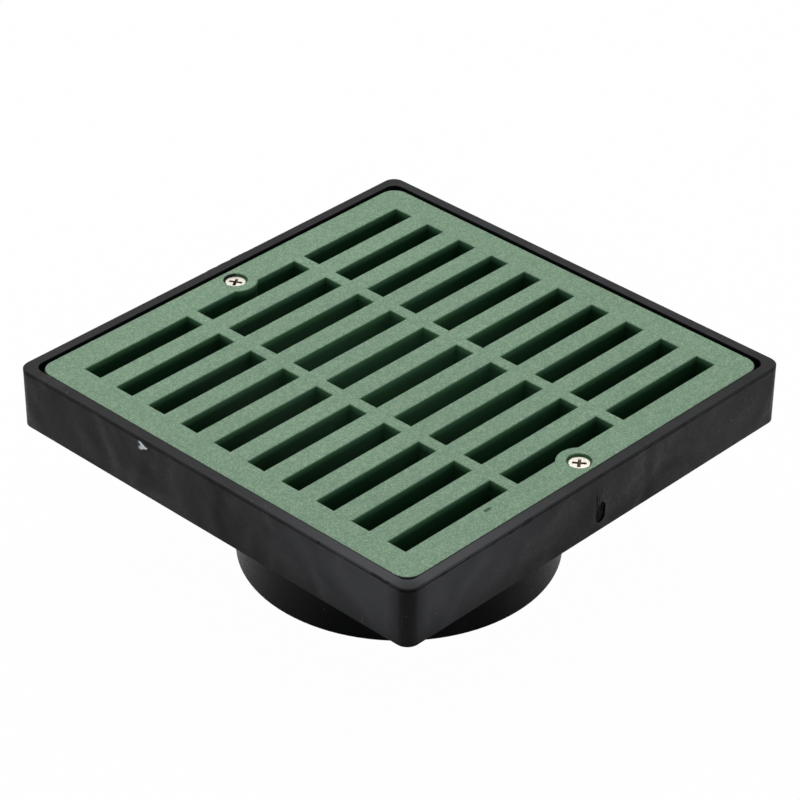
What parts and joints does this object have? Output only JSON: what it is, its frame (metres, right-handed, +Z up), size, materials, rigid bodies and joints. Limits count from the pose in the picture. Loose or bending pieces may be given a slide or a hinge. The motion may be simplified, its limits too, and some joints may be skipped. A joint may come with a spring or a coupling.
{
  "type": "gully grate",
  "caption": "Square slotted plastic grate screwed into a shallow square frame with a round drain outlet below.",
  "frame": {"origin": "middle of the spigot's open lower end, on which the part stands", "axes": "+Z up through the grate, +X along the slots, the two screws lie on the Y axis"},
  "size_m": [0.236, 0.236, 0.0952],
  "materials": {
    "green_plastic": "injection moulded, fine matt grain",
    "black_plastic": "injection moulded, semi-gloss, scuffed",
    "stainless_steel": "plain, lightly worn"
  },
  "bodies": {
    "root": {"grate": "green_plastic", "outlet_frame": "black_plastic", "screw_front": "stainless_steel", "screw_back": "stainless_steel"}
  },
  "joints": []
}
